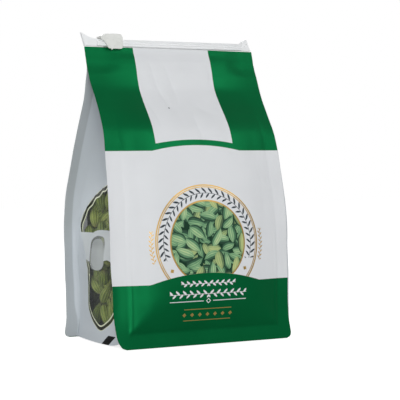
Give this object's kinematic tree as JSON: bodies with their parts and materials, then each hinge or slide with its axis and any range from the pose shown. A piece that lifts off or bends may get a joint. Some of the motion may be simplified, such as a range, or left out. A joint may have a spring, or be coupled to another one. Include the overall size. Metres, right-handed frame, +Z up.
{
  "type": "slider zip pouch of cardamom pods",
  "caption": "Filled stand-up pouch with a flat bottom, folded side gussets with clear windows onto green cardamom pods, and a slider zip along its top.",
  "frame": {"origin": "centre of the flat bottom that the pouch stands on", "axes": "+Z up from the bottom to the zip, -Y out of the printed front, +X along the zip, away from the slider's end"},
  "size_m": [0.1219, 0.0913, 0.1922],
  "materials": {
    "printed_film": "laminated plastic film printed in white and green, satin",
    "gusset_film": "laminated plastic film, plain pale grey, satin",
    "window_film": "clear unprinted film",
    "bottom_film": "laminated plastic film, plain pale grey, satin",
    "pods": "dry, ribbed seed pods",
    "zip_plastic": "milky polyethylene",
    "slider_plastic": "moulded, smooth"
  },
  "bodies": {
    "pouch": {"front_film": "printed_film", "back_film": "printed_film", "left_gusset": "gusset_film", "right_gusset": "gusset_film", "left_window": "window_film", "right_window": "window_film", "bottom_film": "bottom_film", "pod_fill": "pods", "zip_front": "zip_plastic", "zip_back": "zip_plastic"},
    "slider": {"zip_slider": "slider_plastic"}
  },
  "joints": [
    {"name": "zip_slide", "type": "slide", "parent": "pouch", "child": "slider", "axis": [1, 0, 0], "range_m": [-0.002, 0.084]}
  ]
}
